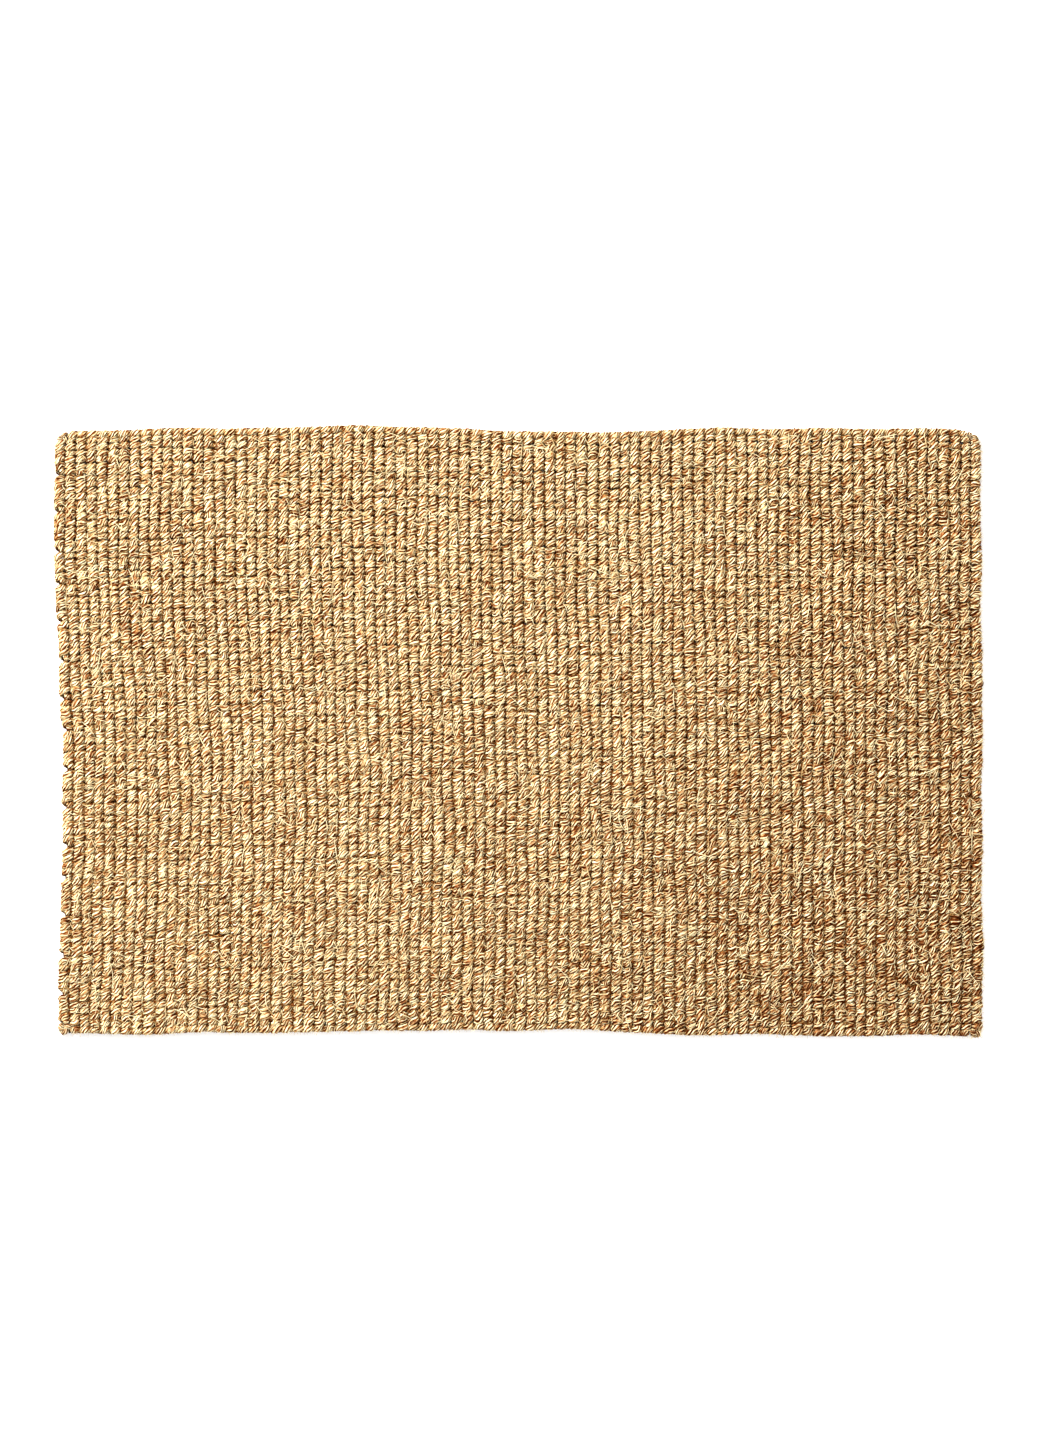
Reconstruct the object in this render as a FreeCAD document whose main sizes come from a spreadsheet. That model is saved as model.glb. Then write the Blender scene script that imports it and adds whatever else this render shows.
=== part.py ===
import FreeCAD, Part
import os

import Sketcher
from FreeCAD import Placement, Rotation, Vector

# A hand-woven coir door mat, lying flat. +X runs along the long side, +Y along the short side and
# +Z up. The origin is at the middle of the underside.
#
# The weave is a reversible rib weave. Thick rib cords and thin binder warps lie side by side along
# Y at mid height. One continuous weft yarn runs to and fro along X: over the face, round the cord
# at one edge, back along the underside, and round the cord at the other edge. Here the yarn's
# runs are straight and their sections are plain rounded bars. At both ends a twined pair of
# strands closes the weave, tied off by a knot at each corner.

DIMENSIONS = {
    "mat_length": 900.0,        # along X
    "mat_width": 591.0,         # along Y
    "mat_thickness": 12.0,
    "rib_count": 87,            # ribs from edge to edge, both selvedges included
    "row_count": 92,            # rows of weft on the face, end strands not counted
    "weft_lengths": 16,         # bobbins of weft yarn woven in one after another
    "yarn_width": 5.9,          # of the beaten-up weft, along Y
    "yarn_height": 4.2,
    "yarn_corner": 1.5,         # radius of the yarn section's corners
    "rib_cord_diameter": 3.0,
    "binder_diameter": 1.8,
    "selvedge_diameter": 3.2,
    "warps_per_bundle": 8,      # neighbouring warps that share one node
    "warp_end_inset": 1.5,      # warp ends lie this far inside the end strands' outer side
    "end_band": 7.8,            # strip along Y that the twined end takes up
    "end_strand_width": 7.5,
    "knot_length": 10.0,        # along X
    "knot_inset": 0.3,          # the knots are this much lower than the mat, above and below
    "knot_corner": 2.6,
    "clearance": 0.5,           # between a knot and the pieces beside it
}

FORMULAS = {
    "run_offset": "(mat_thickness - yarn_height) / 2",
    "row_pitch": "(mat_width - 2 * end_band) / (row_count + 0.5)",
    "turn_radius": "sqrt(4 * run_offset ^ 2 + row_pitch ^ 2 / 4) / 2",
    "selvedge_x": "mat_length / 2 - turn_radius - yarn_height / 2",
    "rib_pitch": "2 * selvedge_x / (rib_count - 1)",
    "warp_length": "mat_width - 2 * warp_end_inset",
    "selvedge_length": "mat_width - 2 * end_band",
    "strand_length": "mat_length - 2 * (knot_length + clearance)",
    "strand_y": "(mat_width - end_strand_width) / 2",
    "strand_flat_y": "end_strand_width / 2 - yarn_corner",
    "strand_flat_z": "yarn_height / 2 - yarn_corner",
    "knot_height": "mat_thickness - 2 * knot_inset",
}

doc = FreeCAD.newDocument("DoorMat")


def fill_sheet():
    """Writes the driving dimensions, and what follows from them, to the spreadsheet."""
    sheet = doc.addObject("Spreadsheet::Sheet", "Dimensions")
    for row, (alias, value) in enumerate(DIMENSIONS.items(), start=1):
        sheet.set(f"A{row}", alias)
        sheet.set(f"B{row}", str(value))
        sheet.setAlias(f"B{row}", alias)
    doc.recompute()
    for row, (alias, formula) in enumerate(FORMULAS.items(), start=len(DIMENSIONS) + 1):
        sheet.set(f"A{row}", alias)
        sheet.set(f"B{row}", f"={formula}")
        sheet.setAlias(f"B{row}", alias)
        doc.recompute()
    return sheet


sheet = fill_sheet()


def bind(target, **sizes):
    """Binds properties to sheet formulas. A double underscore in a name stands for a dot."""
    for path, formula in sizes.items():
        target.setExpression(path.replace("__", "."), formula)


def group(label, members):
    """One node holding several separate, identical pieces."""
    bundle = doc.addObject("Part::Compound", label)
    bundle.Label = label
    bundle.Links = members
    return bundle


# Warps: straight cords along Y, at mid height.


def warp(label, diameter, length, x_position):
    """A straight cord along Y, half of it on each side of the mat's middle."""
    cord = doc.addObject("Part::Cylinder", label)
    cord.Label = label
    cord.Placement = Placement(Vector(), Rotation(Vector(1, 0, 0), -90))
    bind(
        cord,
        Radius=f"Dimensions.{diameter} / 2",
        Height=f"Dimensions.{length}",
        Placement__Base__x=x_position,
        Placement__Base__y=f"-Dimensions.{length} / 2",
        Placement__Base__z="Dimensions.mat_thickness / 2",
    )
    return cord


def warp_bundles(name, diameter, positions):
    """Warps at the given x positions, in bundles of neighbours."""
    step = int(sheet.warps_per_bundle)
    bundles = []
    for first in range(0, len(positions), step):
        members = [
            warp(f"{name}_{index + 1:02d}", diameter, "warp_length", positions[index])
            for index in range(first, min(first + step, len(positions)))
        ]
        bundles.append(group(f"{name}s_{len(bundles) + 1:02d}", members))
    return bundles


def rib_position(rib):
    """The x of a rib, counted from the left selvedge, as a sheet formula."""
    return f"{rib} * Dimensions.rib_pitch - Dimensions.selvedge_x"


def rib_cords():
    inner_ribs = range(1, int(sheet.rib_count) - 1)
    return warp_bundles("rib_cord", "rib_cord_diameter", [rib_position(rib) for rib in inner_ribs])


def binder_warps():
    valleys = range(int(sheet.rib_count) - 1)
    return warp_bundles(
        "binder_warp", "binder_diameter", [rib_position(valley + 0.5) for valley in valleys]
    )


def selvedge_cords():
    sides = {"left": "-Dimensions.selvedge_x", "right": "Dimensions.selvedge_x"}
    return [
        warp(f"{side}_selvedge_cord", "selvedge_diameter", "selvedge_length", x)
        for side, x in sides.items()
    ]


# Weft: a flattened yarn that goes to and fro across the warps.


def yarn_section(start):
    """The yarn's rounded rectangular section, at right angles to X, as a wire."""
    half_y, half_z = sheet.yarn_width / 2, sheet.yarn_height / 2
    radius = sheet.yarn_corner
    slant = radius * (1 - 0.5 ** 0.5)
    edges = []
    for turn in range(4):
        # Every other side of the section is a long one, so the half sizes change places.
        reach, rise = (half_y, half_z) if turn % 2 == 0 else (half_z, half_y)
        spin = Rotation(Vector(1, 0, 0), 90 * turn)
        side_start = Vector(0, reach, radius - rise)
        side_end = Vector(0, reach, rise - radius)
        corner_middle = Vector(0, reach - slant, rise - slant)
        corner_end = Vector(0, reach - radius, rise)
        points = [
            start + spin.multVec(point)
            for point in (side_start, side_end, corner_middle, corner_end)
        ]
        edges.append(Part.makeLine(points[0], points[1]))
        edges.append(Part.Arc(points[1], points[2], points[3]).toShape())
    return Part.Wire(edges)


def weft_path(first_row, last_row):
    """To and fro through the rows: face run, turn down, back run, turn up to the next row."""
    pitch = sheet.row_pitch
    middle = sheet.mat_thickness / 2
    edge_x = sheet.selvedge_x
    run_y = (first_row - sheet.row_count / 2) * pitch + pitch / 4
    run_count = 2 * (last_row - first_row)
    edges = []
    for run in range(run_count):
        y = run_y + run * pitch / 2
        on_face = run % 2 == 0
        z = middle + (sheet.run_offset if on_face else -sheet.run_offset)
        from_x, to_x = (-edge_x, edge_x) if on_face else (edge_x, -edge_x)
        edges.append(Part.makeLine(Vector(from_x, y, z), Vector(to_x, y, z)))
        if run < run_count - 1:
            outward = sheet.turn_radius if on_face else -sheet.turn_radius
            turn_middle = Vector(to_x + outward, y + pitch / 4, middle)
            turn_end = Vector(to_x, y + pitch / 2, 2 * middle - z)
            edges.append(Part.Arc(Vector(to_x, y, z), turn_middle, turn_end).toShape())
    return Part.Wire(edges)


def weft_yarn(length):
    """One bobbin's length of the weft, swept with its section always upright to Y."""
    rows, lengths = int(sheet.row_count), int(sheet.weft_lengths)
    path = weft_path(length * rows // lengths, (length + 1) * rows // lengths)
    sweep = Part.BRepOffsetAPI.MakePipeShell(path)
    sweep.setBiNormalMode(Vector(0, 1, 0))
    sweep.add(yarn_section(path.OrderedVertexes[0].Point))
    sweep.build()
    sweep.makeSolid()
    yarn = doc.addObject("Part::Feature", f"weft_yarn_{length + 1:02d}")
    yarn.Label = yarn.Name
    yarn.Shape = sweep.shape()
    yarn.Placement = Placement()
    return yarn


# Ends: a pair of strands, one above the warps and one below, with a knot at each corner.


def end_strand(label, y_position, z_position):
    """A strand along X: a rounded rectangle of the yarn's height, padded to the strand's length."""
    body = doc.addObject("PartDesign::Body", label)
    body.Label = label
    plane = next(f for f in body.Origin.OriginFeatures if f.Role == "YZ_Plane")
    sketch = body.newObject("Sketcher::SketchObject", f"{label}_section")
    sketch.AttachmentSupport = (plane, "")
    sketch.MapMode = "FlatFace"
    half_y, half_z = sheet.end_strand_width / 2, sheet.yarn_height / 2
    radius = sheet.yarn_corner
    draw_rounded_rectangle(sketch, half_y, half_z, radius)
    bind(
        sketch,
        Constraints__radius="Dimensions.yarn_corner",
        Constraints__right="Dimensions.strand_flat_y",
        Constraints__left="Dimensions.strand_flat_y",
        Constraints__top="Dimensions.strand_flat_z",
        Constraints__bottom="Dimensions.strand_flat_z",
    )
    pad = body.newObject("PartDesign::Pad", f"{label}_pad")
    pad.Profile = sketch
    pad.Midplane = True
    bind(pad, Length="Dimensions.strand_length")
    bind(body, Placement__Base__y=y_position, Placement__Base__z=z_position)
    return body


def draw_rounded_rectangle(sketch, half_y, half_z, radius):
    """Four corner arcs joined by four tangent sides. The arc centres are placed by dimensions."""
    flat_y, flat_z = half_y - radius, half_z - radius
    quarter = 1.5707963267948966
    centres = [(flat_y, flat_z), (-flat_y, flat_z), (-flat_y, -flat_z), (flat_y, -flat_z)]
    arcs = []
    for corner, (y, z) in enumerate(centres):
        circle = Part.Circle(Vector(y, z, 0), Vector(0, 0, 1), radius)
        arc = Part.ArcOfCircle(circle, corner * quarter, (corner + 1) * quarter)
        arcs.append(sketch.addGeometry(arc, False))
    sides = []
    for corner in range(4):
        following = (corner + 1) % 4
        arc_end = sketch.getPoint(arcs[corner], 2)
        arc_start = sketch.getPoint(arcs[following], 1)
        sides.append(sketch.addGeometry(Part.LineSegment(arc_end, arc_start), False))
    for corner in range(4):
        following = (corner + 1) % 4
        sketch.addConstraint(Sketcher.Constraint("Tangent", arcs[corner], 2, sides[corner], 1))
        sketch.addConstraint(Sketcher.Constraint("Tangent", sides[corner], 2, arcs[following], 1))
        if corner:
            sketch.addConstraint(Sketcher.Constraint("Equal", arcs[0], arcs[corner]))
    sketch.addConstraint(Sketcher.Constraint("Horizontal", sides[0]))
    sketch.addConstraint(Sketcher.Constraint("Vertical", sides[1]))
    # The centre of the first arc lies right of and above the origin, that of the third one
    # left of and below it.
    origin = (-1, 1)
    dimensions = {
        "radius": ("Radius", arcs[0], radius),
        "right": ("DistanceX", *origin, arcs[0], 3, flat_y),
        "top": ("DistanceY", *origin, arcs[0], 3, flat_z),
        "left": ("DistanceX", arcs[2], 3, *origin, flat_y),
        "bottom": ("DistanceY", arcs[2], 3, *origin, flat_z),
    }
    for name, dimension in dimensions.items():
        index = sketch.addConstraint(Sketcher.Constraint(*dimension))
        sketch.renameConstraint(index, name)


def end_strands():
    middle = "Dimensions.mat_thickness / 2"
    return [
        end_strand(
            f"{end}_end_{level}_strand",
            f"{end_sign}Dimensions.strand_y",
            f"{middle} {level_sign} Dimensions.run_offset",
        )
        for end, end_sign in (("front", "-"), ("rear", ""))
        for level, level_sign in (("lower", "-"), ("upper", "+"))
    ]


def corner_knot(label, x_position, y_position):
    """A tied-off strand end, as a block with every edge rounded."""
    block = doc.addObject("Part::Box", f"{label}_block")
    bind(
        block,
        Length="Dimensions.knot_length",
        Width="Dimensions.end_strand_width",
        Height="Dimensions.knot_height",
        Placement__Base__x=x_position,
        Placement__Base__y=y_position,
        Placement__Base__z="Dimensions.knot_inset",
    )
    knot = doc.addObject("Part::Fillet", label)
    knot.Label = label
    knot.Base = block
    box_edges = 12
    radius = sheet.knot_corner
    knot.Edges = [(edge, radius, radius) for edge in range(1, box_edges + 1)]
    return knot


def corner_knots():
    left_x, right_x = "-Dimensions.mat_length / 2", "Dimensions.mat_length / 2 - Dimensions.knot_length"
    front_y, rear_y = "-Dimensions.mat_width / 2", "Dimensions.mat_width / 2 - Dimensions.end_strand_width"
    return [
        corner_knot(f"{end}_{side}_corner_knot", x, y)
        for end, y in (("front", front_y), ("rear", rear_y))
        for side, x in (("left", left_x), ("right", right_x))
    ]


weft_yarns = [weft_yarn(length) for length in range(int(sheet.weft_lengths))]
nodes = weft_yarns + rib_cords() + binder_warps() + selvedge_cords() + end_strands() + corner_knots()
doc.recompute()

for item in doc.Objects:
    if "Invalid" in item.State or "Error" in item.State:
        raise RuntimeError(f"{item.Label} failed to recompute: {item.State}")
for node in nodes:
    if node.Shape.isNull() or not node.Shape.isValid() or not node.Shape.Solids:
        raise RuntimeError(f"{node.Label} has no valid solid")
for yarn in weft_yarns:
    if yarn.Shape.Volume <= 0:
        raise RuntimeError(f"{yarn.Label} is inside out")

os.makedirs("parts", exist_ok=True)
for node in nodes:
    node.Shape.exportStep(f"parts/{node.Label}.step")
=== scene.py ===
import math

import bpy
import numpy as np
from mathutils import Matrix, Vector


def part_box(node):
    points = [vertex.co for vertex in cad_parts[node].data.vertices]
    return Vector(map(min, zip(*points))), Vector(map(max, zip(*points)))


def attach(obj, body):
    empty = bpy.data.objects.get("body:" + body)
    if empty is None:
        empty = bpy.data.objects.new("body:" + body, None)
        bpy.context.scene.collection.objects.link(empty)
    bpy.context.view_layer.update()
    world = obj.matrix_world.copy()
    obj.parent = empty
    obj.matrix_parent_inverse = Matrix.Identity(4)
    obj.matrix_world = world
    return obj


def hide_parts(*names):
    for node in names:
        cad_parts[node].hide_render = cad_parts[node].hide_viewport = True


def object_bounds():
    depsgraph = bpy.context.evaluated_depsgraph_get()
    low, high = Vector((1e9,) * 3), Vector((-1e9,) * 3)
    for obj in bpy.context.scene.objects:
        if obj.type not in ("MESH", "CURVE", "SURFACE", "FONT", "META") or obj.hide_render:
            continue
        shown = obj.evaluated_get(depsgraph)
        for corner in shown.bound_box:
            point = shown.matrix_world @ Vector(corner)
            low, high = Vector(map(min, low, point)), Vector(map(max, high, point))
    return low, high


# A hand-woven coir door mat, seen from straight above. Everything is in metres, in the frame of
# the CAD model: +X along the long side, +Y along the short side, +Z up.
#
# The weave: a continuous two-ply weft yarn climbs over thick rib cords and dips under thin
# binder warps. On the way back it lies on the underside and does the opposite. Both ends are
# closed by a twined pair of strands, with a knot at each corner.

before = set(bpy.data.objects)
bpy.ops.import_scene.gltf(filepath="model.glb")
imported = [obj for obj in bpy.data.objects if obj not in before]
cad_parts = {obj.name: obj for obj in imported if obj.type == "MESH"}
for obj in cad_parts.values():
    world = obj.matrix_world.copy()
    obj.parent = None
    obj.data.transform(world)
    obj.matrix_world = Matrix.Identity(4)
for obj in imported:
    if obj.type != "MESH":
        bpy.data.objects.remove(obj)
cad_low, cad_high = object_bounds()

MM = 0.001
SEED = 20260
rng = np.random.default_rng(SEED)

# Sizes of the weave, read from the frame. The frame doesn't hold the number of rows, the number
# of warps in a node or the width of the CAD's yarn, so these three repeat the CAD's values.
NODES = sorted(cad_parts)
WEFT_NODES = [name for name in NODES if name.startswith("weft_yarn")]
RIB_NODES = [name for name in NODES if name.startswith("rib_cords")]
BINDER_NODES = [name for name in NODES if name.startswith("binder_warps")]
WARPS_PER_NODE = 8


def node_middle(name):
    low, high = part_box(name)
    return (low + high) / 2


def node_size(name):
    low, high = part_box(name)
    return high - low


LEFT_X = node_middle("left_selvedge_cord").x
RIGHT_X = node_middle("right_selvedge_cord").x
MIDDLE_Z = (cad_low.z + cad_high.z) / 2
CORD_SIZE = node_size(RIB_NODES[0]).z
BINDER_SIZE = node_size(BINDER_NODES[0]).z
RIB_PITCH = (node_size(RIB_NODES[0]).x - CORD_SIZE) / (WARPS_PER_NODE - 1)
RIBS = round((RIGHT_X - LEFT_X) / RIB_PITCH) + 1
ROWS = 92
WEFT_WIDTH = 5.9 * MM
WEAVE_LOW_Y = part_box(WEFT_NODES[0])[0].y + WEFT_WIDTH / 2
WEAVE_HIGH_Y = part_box(WEFT_NODES[-1])[1].y - WEFT_WIDTH / 2
ROW_PITCH = (WEAVE_HIGH_Y - WEAVE_LOW_Y) / (ROWS - 0.5)
HALF_LENGTH = (cad_high.x - cad_low.x) / 2
HALF_WIDTH = (cad_high.y - cad_low.y) / 2

# How the weft is crimped, as heights of its centre above and below the mat's middle.
FLOAT_RISE = 3.55 * MM
DIP_DEPTH = 1.7 * MM
FLOAT_WIDTH = 7.0 * MM
FLOAT_HEIGHT = 4.5 * MM
DIP_WIDTH = 3.7 * MM
DIP_HEIGHT = 3.0 * MM
STEPS_PER_RIB = {False: 8, True: 6}      # for a face run and for a back run: is it backwards?
FLOAT_SLANT = 0.95 * MM
TURN_STEPS = 8
# The yarn's section: two plies, each with ridges of coarse fibre bundles, as radius factors.
YARN_LOBES = np.tile([0.68, 1.03, 0.75, 1.06, 0.77, 1.03], 2)
YARN_SIDES = len(YARN_LOBES)
TWIST_PITCH = 29.0 * MM


# ---------------------------------------------------------------- small helpers


def smoothstep(low, high, value):
    share = np.clip((value - low) / (high - low), 0, 1)
    return share * share * (3 - 2 * share)


def unit(vectors):
    return vectors / np.maximum(np.linalg.norm(vectors, axis=-1, keepdims=True), 1e-12)


def tangents(points):
    """Unit directions along polylines whose points run along the last but one axis."""
    return unit(np.gradient(points, axis=-2))


def smooth_noise(count, scale, generator):
    """One smooth random number per place, with about one bump every `scale` places."""
    knots = generator.normal(size=int(count / scale) + 3)
    places = np.arange(count) / scale
    index = places.astype(int)
    blend = smoothstep(0, 1, places - index)
    return knots[index] * (1 - blend) + knots[index + 1] * blend


# ---------------------------------------------------------------- the outline

# How far each edge lies outside the nominal rectangle, as (place along the edge, outward), in
# millimetres: only its broad bulges and hollows. Between the points it runs in smooth S shapes,
# and the drift below adds the small unevenness.
LEFT_EDGE = [(-295, 0), (-60, -5), (200, 4), (295, 3)]
RIGHT_EDGE = [(-295, 2), (0, 1), (295, 0)]
FRONT_EDGE = [(-450, 0), (30, -4), (200, 1), (450, 2)]
REAR_EDGE = [(-450, -1), (-130, 3), (40, -3), (220, 1), (450, 0)]
# How far each corner is pulled towards the middle of the mat, and how far around it that reaches.
CORNER_PULL = {(-1, 1): (3, 4), (1, 1): (3, 5), (-1, -1): (-1, 0), (1, -1): (0, 1)}
CORNER_REACH = 13


def edge_offset(points, place):
    """The edge's outward offset in metres, at places in metres."""
    along, outward = np.array(points, float).T * MM
    index = np.clip(np.searchsorted(along, place) - 1, 0, len(along) - 2)
    blend = smoothstep(along[index], along[index + 1], place)
    return outward[index] * (1 - blend) + outward[index + 1] * blend


def drift_terms():
    """A few long waves that pull the whole weave slightly to and fro."""
    generator = np.random.default_rng(SEED + 1)
    waves = generator.uniform(25, 75, size=(6, 2)) * generator.choice([-1, 1], size=(6, 2))
    return waves, generator.uniform(0, 2 * math.pi, size=(6, 2))


DRIFT_WAVES, DRIFT_PHASES = drift_terms()
DRIFT_SIZE = 0.32 * MM


def settle(points):
    """Takes points of the ideal rectangular weave to where they lie on the uneven mat."""
    x, y = points[..., 0], points[..., 1]
    right_share = np.clip((x + HALF_LENGTH) / (2 * HALF_LENGTH), 0, 1)
    rear_share = np.clip((y + HALF_WIDTH) / (2 * HALF_WIDTH), 0, 1)
    shift_x = edge_offset(RIGHT_EDGE, y) * right_share - edge_offset(LEFT_EDGE, y) * (1 - right_share)
    shift_y = edge_offset(REAR_EDGE, x) * rear_share - edge_offset(FRONT_EDGE, x) * (1 - rear_share)
    for (wave_x, wave_y), (phase_x, phase_y) in zip(DRIFT_WAVES, DRIFT_PHASES):
        angle = wave_x * x + wave_y * y
        shift_x = shift_x + DRIFT_SIZE * np.sin(angle + phase_x)
        shift_y = shift_y + DRIFT_SIZE * np.sin(angle + phase_y)
    for (side_x, side_y), (pull_x, pull_y) in CORNER_PULL.items():
        gap_x, gap_y = side_x * HALF_LENGTH - x, side_y * HALF_WIDTH - y
        near = np.exp(-(gap_x ** 2 + gap_y ** 2) / (CORNER_REACH * MM) ** 2)
        shift_x = shift_x - side_x * pull_x * MM * near
        shift_y = shift_y - side_y * pull_y * MM * near
    settled = points.copy()
    settled[..., 0] += shift_x
    settled[..., 1] += shift_y
    # Nothing reaches below the floor: the yarn flattens on it.
    floor = cad_low.z
    soft = 0.5 * MM
    height = settled[..., 2] - floor
    settled[..., 2] = floor + np.where(height < soft, soft * np.exp(np.minimum(height / soft - 1, 0)), height)
    return settled


# ---------------------------------------------------------------- meshes


def new_piece(name, vertices, faces, attributes, material):
    """A smooth-shaded mesh object from arrays. faces is a list of (n, corners) index arrays."""
    mesh = bpy.data.meshes.new(name)
    mesh.vertices.add(len(vertices))
    mesh.vertices.foreach_set("co", np.asarray(vertices, np.float32).ravel())
    corners = np.concatenate([block.ravel() for block in faces])
    sizes = np.concatenate([np.full(len(block), block.shape[1]) for block in faces])
    mesh.loops.add(len(corners))
    mesh.loops.foreach_set("vertex_index", corners.astype(np.int32))
    mesh.polygons.add(len(sizes))
    starts = np.concatenate([[0], np.cumsum(sizes)[:-1]])
    mesh.polygons.foreach_set("loop_start", starts.astype(np.int32))
    mesh.polygons.foreach_set("use_smooth", np.ones(len(sizes), bool))
    mesh.update(calc_edges=True)
    for key, values in attributes.items():
        kind = "FLOAT_VECTOR" if values.ndim == 2 else "FLOAT"
        layer = mesh.attributes.new(key, kind, "POINT")
        field = "vector" if values.ndim == 2 else "value"
        layer.data.foreach_set(field, np.asarray(values, np.float32).ravel())
    mesh.materials.append(material)
    piece = bpy.data.objects.new(name, mesh)
    bpy.context.scene.collection.objects.link(piece)
    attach(piece, "root")
    return piece


def tube_faces(tubes, rings, sides):
    """Side quads and end caps of equal tubes whose vertices are numbered tube, ring, side."""
    tube = np.arange(tubes)[:, None, None] * rings * sides
    ring = np.arange(rings - 1)[None, :, None] * sides
    side = np.arange(sides)[None, None, :]
    following = (side + 1) % sides
    base = tube + ring
    quads = np.stack([base + side, base + following, base + sides + following, base + sides + side], -1)
    first_cap = (tube[:, 0] + np.arange(sides)[::-1][None, :])
    last_cap = (tube[:, 0] + (rings - 1) * sides + np.arange(sides)[None, :])
    return [quads.reshape(-1, 4), first_cap, last_cap]


def ply_lobes(sides, depth):
    """Radius factors of a plain two-ply section, with a groove at its first and middle vertex."""
    return 1 - depth + depth * np.abs(np.sin(2 * math.pi * np.arange(sides) / sides)) ** 0.7


def yarn_rings(centres, across, width, height, phase, lobes):
    """Rings of a yarn round its centre line, and how far each vertex faces outwards.

    `across` is the direction of the yarn's width. The vertices turn with the twist, so the
    grooves between plies and bundles stay on the same vertices. `lobes` holds radius factors."""
    sides = lobes.shape[-1]
    along = tangents(centres)
    out = unit(np.cross(along, across))
    side_way = unit(np.cross(out, along))
    angle = phase[..., None] + 2 * math.pi * np.arange(sides) / sides
    reach_side = np.cos(angle) * lobes * width[..., None] / 2
    reach_out = np.sin(angle) * lobes * height[..., None] / 2
    rings = (centres[..., None, :] + reach_side[..., None] * side_way[..., None, :]
             + reach_out[..., None] * out[..., None, :])
    return rings, np.sin(angle)


def bundle_noise(rings, sides, spacing):
    """Random values that change slowly along each bundle of fibres and freely between them."""
    knots = rng.uniform(-1, 1, (int(rings / spacing) + 3, sides))
    place = np.arange(rings) / spacing + rng.uniform(0, 1)
    index = place.astype(int)
    blend = smoothstep(0, 1, place - index)[:, None]
    return knots[index] * (1 - blend) + knots[index + 1] * blend


def uneven_lobes(rings):
    """The yarn's lobes, a little different on every ring."""
    return YARN_LOBES * (1 + 0.09 * bundle_noise(rings, YARN_SIDES, 3.2))


def lobe_grooves(lobes):
    """How deep each vertex lies in a groove between bundles, from 0 to 1."""
    return np.clip((1.0 - lobes) / 0.3, 0, 1)


def lobe_ridges(lobes):
    """How far each vertex stands on the ridge of a bundle, from 0 to 1."""
    return np.clip((lobes - 0.78) / 0.25, 0, 1)


def fibre_coordinates(lengths, sides, radius):
    """Where each vertex is in the yarn's own fibre space: along it, and round it with the twist."""
    turn = 2 * math.pi * np.arange(sides) / sides
    along = np.broadcast_to(lengths[..., None], lengths.shape + (sides,))
    return np.stack([along, radius * np.cos(turn) + 0 * along, radius * np.sin(turn) + 0 * along], -1)


# ---------------------------------------------------------------- the weft

rib_drift = np.stack([0.45 * smooth_noise(ROWS, 17, rng) + 0.22 * smooth_noise(ROWS, 6, rng)
                      for _ in range(RIBS)], axis=1) * MM
row_drift = np.stack([0.16 * smooth_noise(RIBS, 14, rng) + 0.16 * smooth_noise(RIBS, 5, rng)
                      for _ in range(ROWS)], axis=0) * MM
float_y = rng.normal(0, 0.3, (2, ROWS, RIBS)) * MM
float_scale = 1 + rng.normal(0, 0.07, (2, ROWS, RIBS))
float_lift = rng.normal(0, 0.3, (2, ROWS, RIBS)) * MM
float_tone = rng.uniform(0, 1, (2, ROWS, RIBS))
float_slant = 1 + rng.normal(0, 0.35, (2, ROWS, RIBS))
row_scale = 1 + 0.03 * np.where(np.arange(ROWS) % 2 == 0, 1, -1) + rng.normal(0, 0.02, ROWS)


def weft_run(row, backwards):
    """One run of the weft across the mat: centres, width, height, tone and how hidden it is."""
    level = 1 if backwards else 0
    steps = STEPS_PER_RIB[backwards]
    place = np.arange((RIBS - 1) * steps + 1) / steps
    ribs = np.arange(RIBS)
    nearest = np.clip(np.rint(place).astype(int), 0, RIBS - 1)
    from_rib = np.abs(place - nearest)
    # The selvedge ribs don't dip at their outer side, which the turns take care of.
    x = LEFT_X + place * RIB_PITCH + np.interp(place, ribs, rib_drift[row])
    # The face runs are spread a little so that the last one also reaches the closing strands.
    spread = 1 if backwards else row / (ROWS - 1)
    y = (WEAVE_LOW_Y + row * ROW_PITCH + spread * ROW_PITCH / 2
         + np.interp(place, ribs, row_drift[row] + float_y[level, row])
         + FLOAT_SLANT * np.sin(2 * math.pi * (place - nearest)) * float_slant[level, row, nearest])
    rise = FLOAT_RISE - (FLOAT_RISE + DIP_DEPTH) * np.sin(math.pi * from_rib) ** 3.4
    covered = smoothstep(0.27, 0.47, from_rib)
    rise = rise + float_lift[level, row, nearest] * (1 - covered)
    scale = (float_scale[level, row, nearest] * row_scale[row]) * (1 - covered) + covered
    width = (FLOAT_WIDTH + (DIP_WIDTH - FLOAT_WIDTH) * covered) * scale
    height = (FLOAT_HEIGHT + (DIP_HEIGHT - FLOAT_HEIGHT) * covered) * scale
    centres = np.stack([x, y, MIDDLE_Z + (rise if not backwards else -rise)], -1)
    hidden = smoothstep(0.24, 0.46, from_rib)
    tone = float_tone[level, row, nearest]
    order = slice(None, None, -1) if backwards else slice(None)
    return [values[order] for values in (centres, width, height, tone, hidden)]


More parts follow.
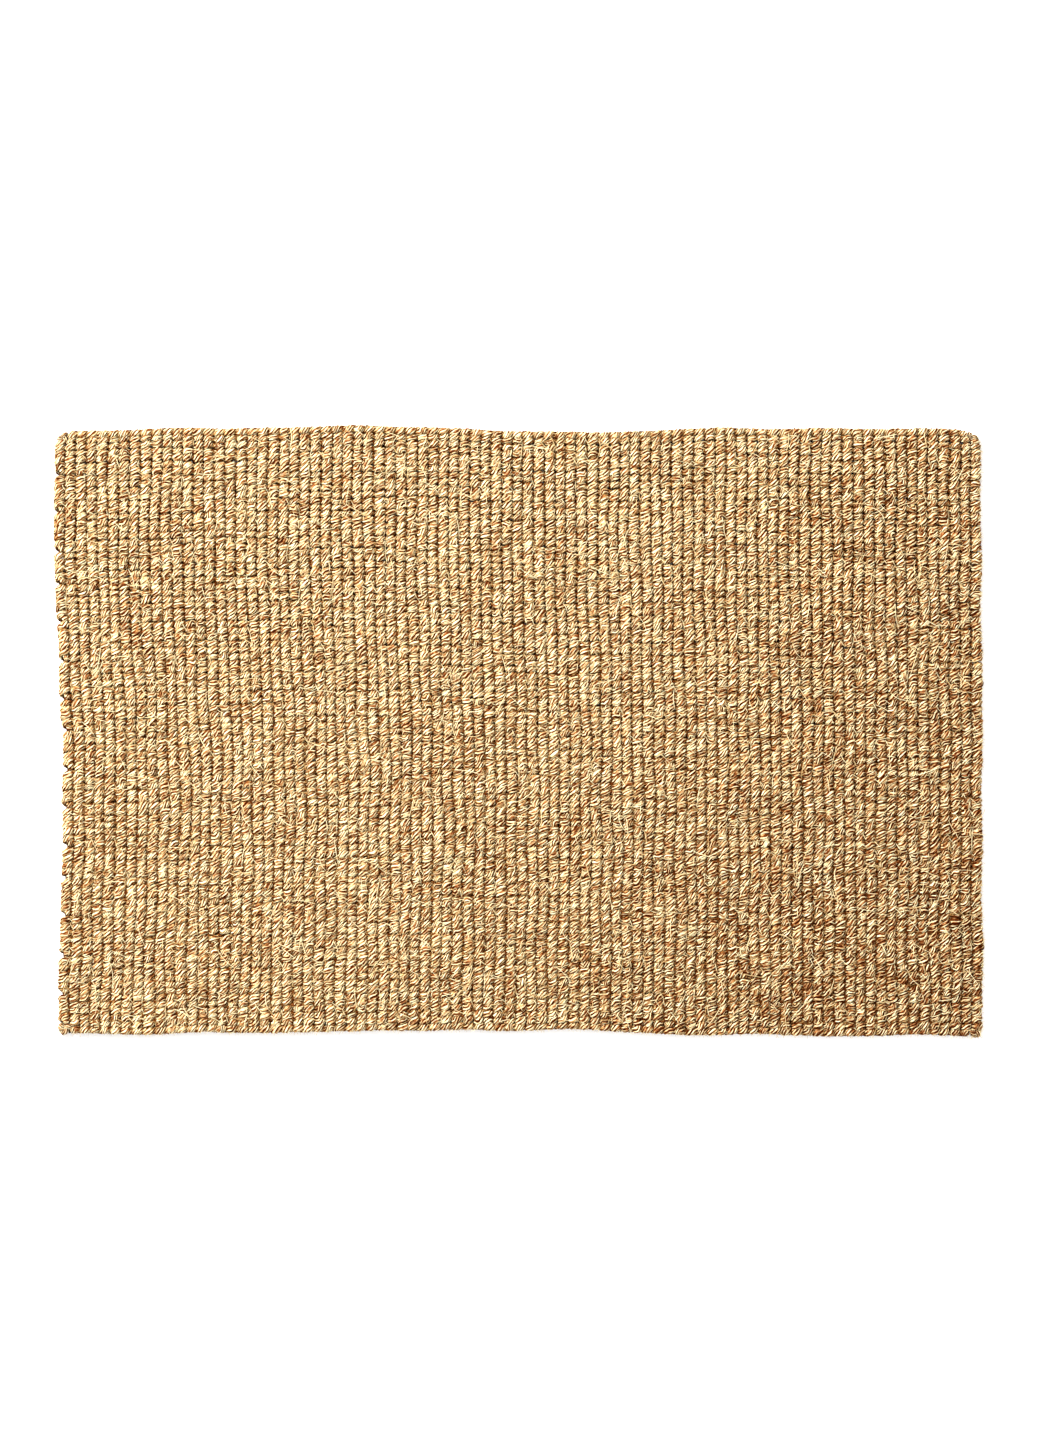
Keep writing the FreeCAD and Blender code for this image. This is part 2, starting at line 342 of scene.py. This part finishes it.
def weft_turn(start, end, side, tone):
    """A half turn round the selvedge cord, from one run's last centre to the next one's first."""
    angle = math.pi * np.arange(1, TURN_STEPS) / TURN_STEPS
    share = angle / math.pi
    bulge = 3.75 * MM + rng.normal(0, 0.25) * MM
    edge_x = start[0] * (1 - share) + end[0] * share
    x = edge_x + side * bulge * np.sin(angle)
    y = start[1] * (1 - share) + end[1] * share
    half_rise = (start[2] - end[2]) / 2
    z = (start[2] + end[2]) / 2 + half_rise * np.cos(angle)
    count = len(angle)
    fullness = 1 + rng.normal(0, 0.05)
    return [np.stack([x, y, z], -1), np.full(count, 6.6 * MM * fullness), np.full(count, 4.4 * MM * fullness),
            np.full(count, tone), np.full(count, 0.12)]


def weft_piece(index, name, material):
    """One bobbin's length of weft, as one closed two-ply tube."""
    first, last = index * ROWS // len(WEFT_NODES), (index + 1) * ROWS // len(WEFT_NODES)
    parts = []
    for row in range(first, last):
        for backwards in (False, True):
            run = weft_run(row, backwards)
            if parts:
                side = 1 if backwards else -1
                parts.append(weft_turn(parts[-1][0][-1], run[0][0], side, float(run[3][0])))
            parts.append(run)
    centres, width, height, tone, hidden = [np.concatenate(block) for block in zip(*parts)]
    step = np.linalg.norm(np.diff(centres, axis=0), axis=1)
    length = np.concatenate([[0], np.cumsum(step)])
    # The twist is uneven: it wanders over the length and jumps a little at every few millimetres.
    wander = np.interp(length, np.linspace(0, length[-1], 400), np.cumsum(rng.normal(0, 0.35, 400)))
    jumps = np.interp(length, np.linspace(0, length[-1], 4000), rng.normal(0, 0.62, 4000))
    phase = -2 * math.pi * length / TWIST_PITCH + wander + jumps
    across = np.broadcast_to(np.array([0.0, 1.0, 0.0]), centres.shape)
    lobes = uneven_lobes(len(centres))
    rings, facing = yarn_rings(centres, across, width, height, phase, lobes)
    # Painted shade: the colour is darkened where the yarn is hidden under other yarns, where it faces
    # sideways or into the mat, and in the grooves between its bundles.
    open_side = smoothstep(0.0, 0.95, facing)
    painted_shade = 1 - (1 - hidden[:, None]) * open_side * (1 - 0.6 * lobe_grooves(lobes))
    bundle_tone = 0.5 + 0.5 * bundle_noise(len(centres), YARN_SIDES, 2.2)
    start = rng.uniform(0, 5)
    attributes = {
        "fibre": fibre_coordinates(length + start, YARN_SIDES, 2.6 * MM).reshape(-1, 3),
        # The tone is random per float and per bundle, plus a painted highlight: the ridges of the bundles are
        # made paler.
        "tone": (0.06 * tone[:, None] + 0.24 * bundle_tone + 0.7 * lobe_ridges(lobes)).ravel(),
        "painted_shade": painted_shade.ravel(),
    }
    vertices = settle(rings.reshape(-1, 3))
    piece = new_piece(name, vertices, tube_faces(1, len(centres), YARN_SIDES), attributes, material)
    return piece, rings, centres, hidden


def ring_points(rings, index, column):
    """Points between the vertices of a tube, at fractional rings and fractional sides."""
    sides = rings.shape[1]
    ring, side = np.floor(index).astype(int), np.floor(column).astype(int)
    ring_share, side_share = (index - ring)[..., None], (column - side)[..., None]
    first = rings[ring, side % sides] * (1 - side_share) + rings[ring, (side + 1) % sides] * side_share
    second = (rings[ring + 1, side % sides] * (1 - side_share)
              + rings[ring + 1, (side + 1) % sides] * side_share)
    return first * (1 - ring_share) + second * ring_share


def raised_fibres(name, rings, centres, hidden, count, material):
    """Bundles of fibres that stand proud of the yarn and run along its twist."""
    points = 6
    step = rng.uniform(0.55, 1.15, (count, 1)) * np.arange(points)
    start = rng.uniform(1, len(rings) - 9, (count, 1))
    column = rng.uniform(0, YARN_SIDES, (count, 1)) + rng.normal(0, 0.16, (count, 1)) * np.arange(points)
    index = start + step
    path = ring_points(rings, index, column)
    axis = ring_points(np.repeat(centres[:, None], YARN_SIDES, axis=1), index, column)
    outward = unit(path - axis)
    middle = points // 2
    height = path[:, middle, 2] - MIDDLE_Z
    exposed = hidden[np.rint(index[:, middle]).astype(int)] < 0.5
    on_face = (height > 3.2 * MM) & (outward[:, middle, 2] > 0.15)
    on_back = (height < -3.2 * MM) & (outward[:, middle, 2] < -0.15) & (rng.uniform(0, 1, count) < 0.2)
    at_edge = np.abs(path[:, middle, 0]) > HALF_LENGTH - 6 * MM
    kept = exposed & (on_face | on_back | at_edge)
    path, outward = path[kept], outward[kept]
    share = np.linspace(0, 1, points)[None, :, None]
    lift = rng.uniform(0.0, 0.34, (len(path), 1, 1)) * MM * np.sin(math.pi * share) - 0.1 * MM
    radii = rng.uniform(0.3, 0.7, len(path)) * MM
    return strand_piece(name, path + outward * lift, radii, material)


# ---------------------------------------------------------------- the warps


def warp_piece(name, positions, size, painted_shade, half_length, material, sides, drift):
    """Straight twisted cords along Y, several in one piece."""
    count = int(2 * half_length / (ROW_PITCH * 0.8)) + 1
    y = np.linspace(-half_length, half_length, count)
    rows = np.clip((y - WEAVE_LOW_Y) / ROW_PITCH, 0, ROWS - 1)
    tubes = []
    for x, offsets in zip(positions, drift):
        lateral = np.interp(rows, np.arange(ROWS), offsets)
        tubes.append(np.stack([x + lateral, y, np.full(count, MIDDLE_Z)], -1))
    centres = np.stack(tubes)
    phase = -2 * math.pi * (y[None, :] + rng.uniform(0, 1, (len(positions), 1))) / (3.2 * size + 4 * MM)
    across = np.broadcast_to(np.array([1.0, 0.0, 0.0]), centres.shape)
    section = np.full(centres.shape[:2], size)
    rings, _ = yarn_rings(centres, across, section, section, phase, ply_lobes(sides, 0.3))
    length = np.broadcast_to(y, centres.shape[:2]) + rng.uniform(0, 5, (len(positions), 1))
    attributes = {
        "fibre": fibre_coordinates(length, sides, size / 2).reshape(-1, 3),
        "tone": np.repeat(rng.uniform(0, 1, len(positions)), count * sides),
        # Painted shade, the same all along the cords.
        "painted_shade": np.full(len(positions) * count * sides, painted_shade),
    }
    vertices = settle(rings.reshape(-1, 3))
    return new_piece(name, vertices, tube_faces(len(positions), count, sides), attributes, material)


# ---------------------------------------------------------------- the ends


def general_tube(name, centres, sizes, twist_pitch, painted_shade, material):
    """A two-ply strand along any path, its frame carried along the path without spinning."""
    sides = YARN_SIDES
    along = tangents(centres)
    across = np.zeros_like(centres)
    across[0] = unit(np.cross(along[0], [0.3, 0.2, 1.0]))
    for index in range(1, len(centres)):
        carried = across[index - 1] - along[index] * np.dot(across[index - 1], along[index])
        across[index] = unit(carried)
    step = np.linalg.norm(np.diff(centres, axis=0), axis=1)
    length = np.concatenate([[0], np.cumsum(step)])
    knots = np.arange(0, length[-1], 3.7 * MM)
    jumps = np.interp(length, knots, rng.normal(0, 0.5, len(knots)))
    phase = -2 * math.pi * length / twist_pitch + jumps
    lobes = uneven_lobes(len(centres))
    rings, _ = yarn_rings(centres, across, sizes, sizes, phase, lobes)
    # Painted shade: the strand is darker where it lies low, in the grooves between bundles and by the amount
    # passed in. Painted highlight: its tone is paler on the bundles' ridges, with some random tone.
    outer = smoothstep(-2.5 * MM, 2.5 * MM, rings[..., 2] - MIDDLE_Z)
    attributes = {
        "fibre": fibre_coordinates(length + rng.uniform(0, 5), sides, 2.4 * MM).reshape(-1, 3),
        "tone": (0.15 + 0.15 * bundle_noise(len(centres), sides, 2.2)
                 + 0.7 * lobe_ridges(lobes)).ravel(),
        "painted_shade": np.clip(painted_shade + 0.4 * lobe_grooves(lobes) + 0.45 * (1 - outer), 0, 1).ravel(),
    }
    vertices = settle(rings.reshape(-1, 3))
    return new_piece(name, vertices, tube_faces(1, len(centres), sides), attributes, material)


STRAND_SIZE = 7.4 * MM
STRAND_TWIST = 23 * MM
KNOT_STRAND_SIZE = 5.2 * MM
KNOT_TWIST = 20 * MM
KNOT_INSET = 2.2 * MM


def twined_strand(name, end_sign, offset, material):
    """One strand of the twined pair that closes an end: over one rib, under the next."""
    half_length = node_size("front_end_upper_strand").x / 2 - 3.5 * MM
    x = np.arange(-half_length, half_length, RIB_PITCH / 9)
    ribs = (x - LEFT_X) / RIB_PITCH
    angle = math.pi * (ribs + offset) + 0.25 * np.sin(x * 61 + offset)
    middle_y = end_sign * abs(node_middle("front_end_upper_strand").y)
    slack = 1 + 0.05 * np.interp(ribs, np.arange(RIBS), rng.normal(size=RIBS))
    y = middle_y - end_sign * 1.1 * MM + 1.3 * MM * np.sin(angle) * slack
    z = MIDDLE_Z - 0.3 * MM + 2.4 * MM * np.cos(angle) * slack
    valley = np.abs(np.sin(angle)) ** 3
    fullness = 1 + 0.08 * np.interp(ribs, np.arange(RIBS), rng.normal(size=RIBS))
    sizes = STRAND_SIZE * (1 - 0.3 * valley) * fullness
    # Painted shade where the strand passes between two ribs.
    painted_shade = 0.9 * valley[:, None]
    return general_tube(name, np.stack([x, y, z], -1), sizes, STRAND_TWIST, painted_shade, material)


def corner_knot(name, node, material):
    """The strands' tied ends: a tight overhand knot."""
    middle = node_middle(node)
    side_x, side_y = np.sign(middle.x), np.sign(middle.y)
    turn = np.linspace(-0.15, 2 * math.pi + 0.15, 110)
    ring_x = (np.sin(turn) + 2 * np.sin(2 * turn)) / 3
    ring_y = (np.cos(turn) - 2 * np.cos(2 * turn)) / 3
    ring_z = -np.sin(3 * turn)
    spin = rng.uniform(0, 2 * math.pi)
    x = middle.x - side_x * KNOT_INSET + 4.6 * MM * (ring_x * math.cos(spin) - ring_y * math.sin(spin))
    y = middle.y - side_y * KNOT_INSET + 4.0 * MM * (ring_x * math.sin(spin) + ring_y * math.cos(spin))
    z = MIDDLE_Z - 0.4 * MM + 2.6 * MM * ring_z
    sizes = np.full(len(turn), KNOT_STRAND_SIZE)
    return general_tube(name, np.stack([x, y, z], -1), sizes, KNOT_TWIST, 0.0, material)


# ---------------------------------------------------------------- loose fibres


def fibre_piece(name, starts, headings, lengths, bends, lifts, radii, base_z, dive, material, points=7):
    """Many thin curved fibres that leave the yarn, lie over it and go back in."""
    share = np.linspace(0, 1, points)[None, :]
    heading = headings[:, None] + bends[:, None] * (share - 0.5)
    step = lengths[:, None] / (points - 1)
    dx = np.cumsum(np.cos(heading) * step, axis=1)
    dy = np.cumsum(np.sin(heading) * step, axis=1)
    arch = np.sin(math.pi * share) ** 0.6
    z = base_z[:, None] + lifts[:, None] * arch - dive * (1 - smoothstep(0, 0.16, share)) \
        - dive * smoothstep(0.84, 1, share)
    centres = np.stack([starts[:, :1] + dx - dx.mean(1, keepdims=True),
                        starts[:, 1:] + dy - dy.mean(1, keepdims=True), z], -1)
    return strand_piece(name, centres, radii, material)


def strand_piece(name, centres, radii, material):
    """Many thin three-sided tubes, tapered at both ends, as one piece."""
    count, points = centres.shape[:2]
    share = np.linspace(0, 1, points)[None, :]
    along = tangents(centres)
    side_way = unit(np.cross(along, np.array([0.0, 0.0, 1.0])))
    out = np.cross(side_way, along)
    sides = 3
    turn = 2 * math.pi * np.arange(sides) / sides
    taper = (0.55 + 0.45 * np.sin(math.pi * share))[..., None, None] * radii[:, None, None, None]
    offset = (np.cos(turn)[None, None, :, None] * side_way[:, :, None, :]
              + np.sin(turn)[None, None, :, None] * out[:, :, None, :])
    vertices = centres[:, :, None, :] + offset * taper
    along_fibre = np.broadcast_to(share * 10 * MM, (count, points))
    start = rng.uniform(0, 5, (count, 1))
    attributes = {
        "fibre": fibre_coordinates(along_fibre + start, sides, 0.2 * MM).reshape(-1, 3),
        "tone": np.repeat(rng.uniform(0, 1, count), points * sides),
        "painted_shade": np.zeros(count * points * sides),
    }
    faces = tube_faces(count, points, sides)
    return new_piece(name, settle(vertices.reshape(-1, 3)), faces, attributes, material)


def scattered(count, margin):
    """Random places over the mat, kept a margin inside its edges."""
    return np.stack([rng.uniform(-HALF_LENGTH + margin, HALF_LENGTH - margin, count),
                     rng.uniform(-HALF_WIDTH + margin, HALF_WIDTH - margin, count)], -1)


def face_fibres(name, count, longest, on_back, material):
    top = cad_high.z - 0.35 * MM
    base = np.full(count, cad_low.z + 0.3 * MM if on_back else top) + rng.normal(0, 0.12, count) * MM
    lengths = (4 + (longest - 4) * rng.power(0.55, count)) * MM
    return fibre_piece(
        name, scattered(count, 8 * MM), rng.uniform(0, 2 * math.pi, count), lengths,
        rng.normal(0, 0.6, count), rng.uniform(0.3, 1.3, count) * MM * (0.1 if on_back else 1),
        rng.uniform(0.18, 0.34, count) * MM, base, (-1 if on_back else 1) * 2.4 * MM, material)


def edge_fibres(name, count, material):
    """Short hairs that stick out of the four edges."""
    around = rng.uniform(0, 2 * (HALF_LENGTH + HALF_WIDTH), count)
    on_long = around < 2 * HALF_LENGTH
    side = rng.choice([-1, 1], count)
    inset = 2.2 * MM
    x = np.where(on_long, around - HALF_LENGTH, side * (HALF_LENGTH - inset))
    y = np.where(on_long, side * (HALF_WIDTH - inset), around - 2 * HALF_LENGTH - HALF_WIDTH)
    outward = np.where(on_long, side * math.pi / 2, np.where(side > 0, 0, math.pi))
    headings = outward + rng.normal(0, 0.75, count)
    lengths = rng.uniform(3, 9, count) * MM
    base = cad_low.z + rng.uniform(2.0, 9.5, count) * MM
    return fibre_piece(name, np.stack([x, y], -1), headings, lengths, rng.normal(0, 0.9, count),
                       rng.normal(0, 0.7, count) * MM, rng.uniform(0.11, 0.2, count) * MM, base, 0.0,
                       material, points=5)


# ---------------------------------------------------------------- materials


def node(tree, kind, inputs=None, **settings):
    made = tree.nodes.new(kind)
    for key, value in settings.items():
        setattr(made, key, value)
    for key, value in (inputs or {}).items():
        if isinstance(value, bpy.types.NodeSocket):
            tree.links.new(value, made.inputs[key])
        else:
            made.inputs[key].default_value = value
    return made


def ramp(tree, factor, stops):
    made = node(tree, "ShaderNodeValToRGB", {"Fac": factor})
    elements = made.color_ramp.elements
    while len(elements) < len(stops):
        elements.new(0.5)
    for element, (position, colour) in zip(elements, stops):
        element.position = position
        element.color = (*colour, 1)
    return made.outputs["Color"]


def stretched_noise(tree, vector, scale, detail, roughness=0.6):
    """Noise in the yarn's fibre space, per metre along and across the fibres."""
    along, across = scale
    mapping = node(tree, "ShaderNodeMapping", {"Vector": vector, "Scale": (along, across, across)})
    noise = node(tree, "ShaderNodeTexNoise", {"Vector": mapping.outputs["Vector"], "Scale": 1.0,
                                              "Detail": detail, "Roughness": roughness})
    return noise.outputs["Fac"]


def fibre_bundles(tree, vector, scale):
    """Long cells side by side in the yarn's fibre space: distance to each one's edge, and its tone."""
    along, across = scale
    mapping = node(tree, "ShaderNodeMapping", {"Vector": vector, "Scale": (along, across, across)})
    settings = {"Vector": mapping.outputs["Vector"], "Scale": 1.0}
    edge = node(tree, "ShaderNodeTexVoronoi", settings, feature="DISTANCE_TO_EDGE")
    cell = node(tree, "ShaderNodeTexVoronoi", settings, feature="F1")
    tone = node(tree, "ShaderNodeSeparateColor", {"Color": cell.outputs["Color"]})
    return edge.outputs["Distance"], tone.outputs[0]


def mix_colour(tree, kind, factor, first, second):
    made = node(tree, "ShaderNodeMix", data_type="RGBA", blend_type=kind)
    for socket, value in ((made.inputs[0], factor), (made.inputs[6], first), (made.inputs[7], second)):
        if isinstance(value, bpy.types.NodeSocket):
            tree.links.new(value, socket)
        elif isinstance(value, tuple):
            socket.default_value = (*value, 1)
        else:
            socket.default_value = value
    return made.outputs[2]


def math_node(tree, operation, first, second):
    return node(tree, "ShaderNodeMath", {0: first, 1: second}, operation=operation).outputs[0]


PALE = (0.92, 0.86, 0.58)
STRAW = (0.73, 0.575, 0.31)
BROWN = (0.44, 0.19, 0.07)
DARK = (0.06, 0.014, 0.002)


def coir_material(name, tint):
    """Twisted coir: pale and brown fibres side by side along the twist, darker where hidden as painted shade.
    """
    material = bpy.data.materials.new(name)
    material.use_nodes = True
    tree = material.node_tree
    shader = tree.nodes["Principled BSDF"]
    fibre = node(tree, "ShaderNodeAttribute", attribute_name="fibre").outputs["Vector"]
    tone = node(tree, "ShaderNodeAttribute", attribute_name="tone").outputs["Fac"]
    painted_shade = node(tree, "ShaderNodeAttribute", attribute_name="painted_shade").outputs["Fac"]
    place = node(tree, "ShaderNodeTexCoord").outputs["Object"]
    edge, bundle_tone = fibre_bundles(tree, fibre, (150, 480))
    bundles = node(tree, "ShaderNodeMapRange", {"Value": edge, "From Min": 0.0, "From Max": 0.26,
                                                "To Min": 0.0, "To Max": 1.0}).outputs["Result"]
    strands = stretched_noise(tree, fibre, (280, 1400), 1.0)
    patches = node(tree, "ShaderNodeTexNoise", {"Vector": place, "Scale": 16.0, "Detail": 3.0}).outputs["Fac"]
    # Painted shade: the colour is darker along the edges of the fibre bundles, in the creases that the bump
    # makes there.
    streak = math_node(tree, "ADD", math_node(tree, "MULTIPLY", bundles, 0.06),
                       math_node(tree, "MULTIPLY", strands, 0.35))
    streak = math_node(tree, "ADD", streak, math_node(tree, "MULTIPLY", bundle_tone, 0.05))
    streak = math_node(tree, "ADD", streak, 0.255)
    # The tone attribute brings random tone and, on the weft and the ends, a painted highlight on the bundles'
    # ridges.
    tone_part = math_node(tree, "MULTIPLY", math_node(tree, "SUBTRACT", tone, 0.5), 0.25)
    # The front right part of the mat is a little browner.
    towards = {0: place, 1: (0.8, -0.6, 0.0)}
    across = node(tree, "ShaderNodeVectorMath", towards, operation="DOT_PRODUCT").outputs["Value"]
    browner = node(tree, "ShaderNodeMapRange", {"Value": across, "From Min": 0.0, "From Max": 0.5,
                                                "To Min": 0.0, "To Max": -0.04}).outputs["Result"]
    patch_part = math_node(tree, "MULTIPLY", math_node(tree, "SUBTRACT", patches, 0.5), 0.03)
    streak = math_node(tree, "ADD", streak, math_node(tree, "ADD", tone_part, patch_part))
    streak = math_node(tree, "ADD", streak, browner)
    brown, straw, pale = (
        tuple(channel * share for channel, share in zip(colour, tint)) for colour in (BROWN, STRAW, PALE))
    colour = ramp(tree, streak, [(0.39, DARK), (0.45, brown), (0.495, straw), (0.54, pale)])
    # Painted shade is made patchy, so that some recesses are darker than others.
    shade_patchiness = node(tree, "ShaderNodeTexNoise", {"Vector": place, "Scale": 320.0, "Detail": 1.0}).outputs["Fac"]
    shade_patchiness = node(tree, "ShaderNodeMapRange", {"Value": shade_patchiness, "From Min": 0.35, "From Max": 0.6,
                                             "To Min": 0.45, "To Max": 1.0}).outputs["Result"]
    shade = math_node(tree, "MULTIPLY", painted_shade, shade_patchiness)
    # Painted shade: where light would have to bounce between fibres to reach a recess, the colour is made
    # darker and redder.
    depth = math_node(tree, "ADD", math_node(tree, "MULTIPLY", shade, 1.2), 1.0)
    colour = node(tree, "ShaderNodeGamma", {"Color": colour, "Gamma": depth}).outputs["Color"]
    colour = mix_colour(tree, "MULTIPLY", shade, colour, (0.77, 0.43, 0.19))
    # Painted shade: the deepest places between yarns are made nearly black.
    colour = mix_colour(tree, "MIX", math_node(tree, "POWER", shade, 2.6), colour, (0.10, 0.022, 0.003))
    tree.links.new(colour, shader.inputs["Base Color"])
    relief = math_node(tree, "ADD", math_node(tree, "MULTIPLY", bundles, 0.6),
                       math_node(tree, "MULTIPLY", strands, 0.4))
    bump_node = node(tree, "ShaderNodeBump", {"Height": relief, "Strength": 1.0, "Distance": 0.0016})
    tree.links.new(bump_node.outputs["Normal"], shader.inputs["Normal"])
    rough = node(tree, "ShaderNodeMapRange", {"Value": bundles, "From Min": 0.0, "From Max": 1.0,
                                              "To Min": 0.62, "To Max": 0.9})
    tree.links.new(rough.outputs["Result"], shader.inputs["Roughness"])
    shader.inputs["Specular IOR Level"].default_value = 0.0
    return material


def fibre_material(name, stops):
    """Single fibres: paler than the yarn, each with its own tone."""
    material = bpy.data.materials.new(name)
    material.use_nodes = True
    tree = material.node_tree
    shader = tree.nodes["Principled BSDF"]
    fibre = node(tree, "ShaderNodeAttribute", attribute_name="fibre").outputs["Vector"]
    tone = node(tree, "ShaderNodeAttribute", attribute_name="tone").outputs["Fac"]
    mottle = stretched_noise(tree, fibre, (400, 400), 1.0)
    mottle_part = math_node(tree, "MULTIPLY", math_node(tree, "SUBTRACT", mottle, 0.5), 0.3)
    value = math_node(tree, "ADD", tone, mottle_part)
    colour = ramp(tree, value, stops)
    tree.links.new(colour, shader.inputs["Base Color"])
    rough = node(tree, "ShaderNodeMapRange", {"Value": mottle, "To Min": 0.45, "To Max": 0.7})
    tree.links.new(rough.outputs["Result"], shader.inputs["Roughness"])
    shader.inputs["Specular IOR Level"].default_value = 0.03
    return material


def floor_material():
    material = bpy.data.materials.new("plain_floor")
    material.use_nodes = True
    tree = material.node_tree
    shader = tree.nodes["Principled BSDF"]
    noise = node(tree, "ShaderNodeTexNoise", {"Scale": 4.0, "Detail": 2.0})
    colour = ramp(tree, noise.outputs["Fac"], [(0.0, (0.93, 0.93, 0.93)), (1.0, (0.95, 0.95, 0.95))])
    tree.links.new(colour, shader.inputs["Base Color"])
    shader.inputs["Roughness"].default_value = 0.9
    return material


# ---------------------------------------------------------------- build

weft_coir = coir_material("weft_coir", (0.92, 0.92, 0.92))
# The warps are darker and redder than the weft: painted shade for the gaps between floats where they show.
warp_coir = coir_material("warp_coir", (0.50, 0.39, 0.24))
end_coir = coir_material("end_coir", (0.88, 0.88, 0.88))
loose_coir = fibre_material("loose_coir", [(0.0, (0.34, 0.17, 0.05)), (0.25, (0.62, 0.43, 0.19)),
                                          (0.6, (0.78, 0.64, 0.35)), (1.0, (0.86, 0.75, 0.46))])
raised_coir = fibre_material("raised_coir", [(0.0, (0.05, 0.012, 0.002)), (0.25, (0.22, 0.08, 0.025)),
                                            (0.42, (0.52, 0.37, 0.17)), (0.6, (0.73, 0.65, 0.39)),
                                            (1.0, (0.80, 0.76, 0.49))])

for index, cad_node in enumerate(WEFT_NODES):
    piece, *surface = weft_piece(index, f"crimped_weft_{index + 1:02d}", weft_coir)
    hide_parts(cad_node)
    raised_fibres(f"raised_fibres_{index + 1:02d}", *surface, 6000, raised_coir)

# Painted shade on the warps, one value each: 0.8 for the rib cords, 0.9 for the binders and 0.7 for the
# selvedges.
for index, cad_node in enumerate(RIB_NODES):
    ribs = range(index * WARPS_PER_NODE + 1, min((index + 1) * WARPS_PER_NODE, RIBS - 2) + 1)
    piece = warp_piece(
        f"twisted_rib_cords_{index + 1:02d}", [LEFT_X + rib * RIB_PITCH for rib in ribs],
        CORD_SIZE * 1.15, 0.8, HALF_WIDTH - 1.5 * MM, warp_coir, 6, [rib_drift[:, rib] for rib in ribs])
    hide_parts(cad_node)

for index, cad_node in enumerate(BINDER_NODES):
    valleys = range(index * WARPS_PER_NODE, min((index + 1) * WARPS_PER_NODE, RIBS - 1))
    piece = warp_piece(
        f"twisted_binders_{index + 1:02d}", [LEFT_X + (valley + 0.5) * RIB_PITCH for valley in valleys],
        BINDER_SIZE * 1.3, 0.9, HALF_WIDTH - 1.5 * MM, warp_coir, 6,
        [(rib_drift[:, valley] + rib_drift[:, valley + 1]) / 2 for valley in valleys])
    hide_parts(cad_node)

for side, x, rib in (("left", LEFT_X, 0), ("right", RIGHT_X, RIBS - 1)):
    cad_node = f"{side}_selvedge_cord"
    piece = warp_piece(f"twisted_{side}_selvedge", [x], CORD_SIZE * 1.15, 0.7,
                       node_size(cad_node).y / 2, warp_coir, 8, [rib_drift[:, rib]])
    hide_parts(cad_node)

for end, end_sign in (("front", -1), ("rear", 1)):
    for level, offset in (("lower", 1), ("upper", 0)):
        piece = twined_strand(f"{end}_twined_strand_{level}", end_sign, offset, end_coir)
        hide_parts(f"{end}_end_{level}_strand")
    for side in ("left", "right"):
        cad_node = f"{end}_{side}_corner_knot"
        piece = corner_knot(f"{end}_{side}_tied_corner", cad_node, end_coir)
        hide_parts(cad_node)

for piece in (
    face_fibres("long_face_fibres", 3200, 30, False, loose_coir),
    face_fibres("short_face_fibres", 5200, 12, False, loose_coir),
    face_fibres("back_fibres", 900, 18, True, loose_coir),
    edge_fibres("edge_fibres", 2600, loose_coir),
):
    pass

# ---------------------------------------------------------------- studio

floor_mesh = bpy.data.meshes.new("floor")
FLOOR_REACH = 6.0
floor_corners = [
    (x * FLOOR_REACH, y * FLOOR_REACH, cad_low.z) for x, y in ((-1, -1), (1, -1), (1, 1), (-1, 1))]
floor_mesh.from_pydata(floor_corners, [], [(0, 1, 2, 3)])
floor_mesh.materials.append(floor_material())
floor = bpy.data.objects.new("floor", floor_mesh)
bpy.context.scene.collection.objects.link(floor)

world = bpy.data.worlds.new("studio")
world.use_nodes = True
world.node_tree.nodes["Background"].inputs["Color"].default_value = (1, 1, 1, 1)
world.node_tree.nodes["Background"].inputs["Strength"].default_value = 1.2
bpy.context.scene.world = world


def area_light(name, place, size, power):
    """A square softbox aimed at the middle of the mat."""
    data = bpy.data.lights.new(name, "AREA")
    data.size = size
    data.energy = power
    lamp = bpy.data.objects.new(name, data)
    lamp.location = place
    lamp.rotation_euler = (-Vector(place)).to_track_quat("-Z", "Y").to_euler()
    bpy.context.scene.collection.objects.link(lamp)


area_light("key", place=(-2.1, 1.9, 2.9), size=0.6, power=385)
area_light("fill", place=(2.4, -1.2, 3.0), size=2.5, power=40)

# The camera looks straight down. Its frame is 1.4 m high at the mat's face, and its middle
# lies a little to the rear of the mat's.
camera_data = bpy.data.cameras.new("camera")
camera_data.lens = 85
camera_data.sensor_width = 36
FRAME_HEIGHT = 1.3995
distance = FRAME_HEIGHT * camera_data.lens / camera_data.sensor_width
camera = bpy.data.objects.new("camera", camera_data)
camera.location = (0.0005, 0.0112, cad_high.z + distance)
bpy.context.scene.collection.objects.link(camera)
bpy.context.scene.camera = camera
bpy.context.scene.view_settings.view_transform = "Standard"
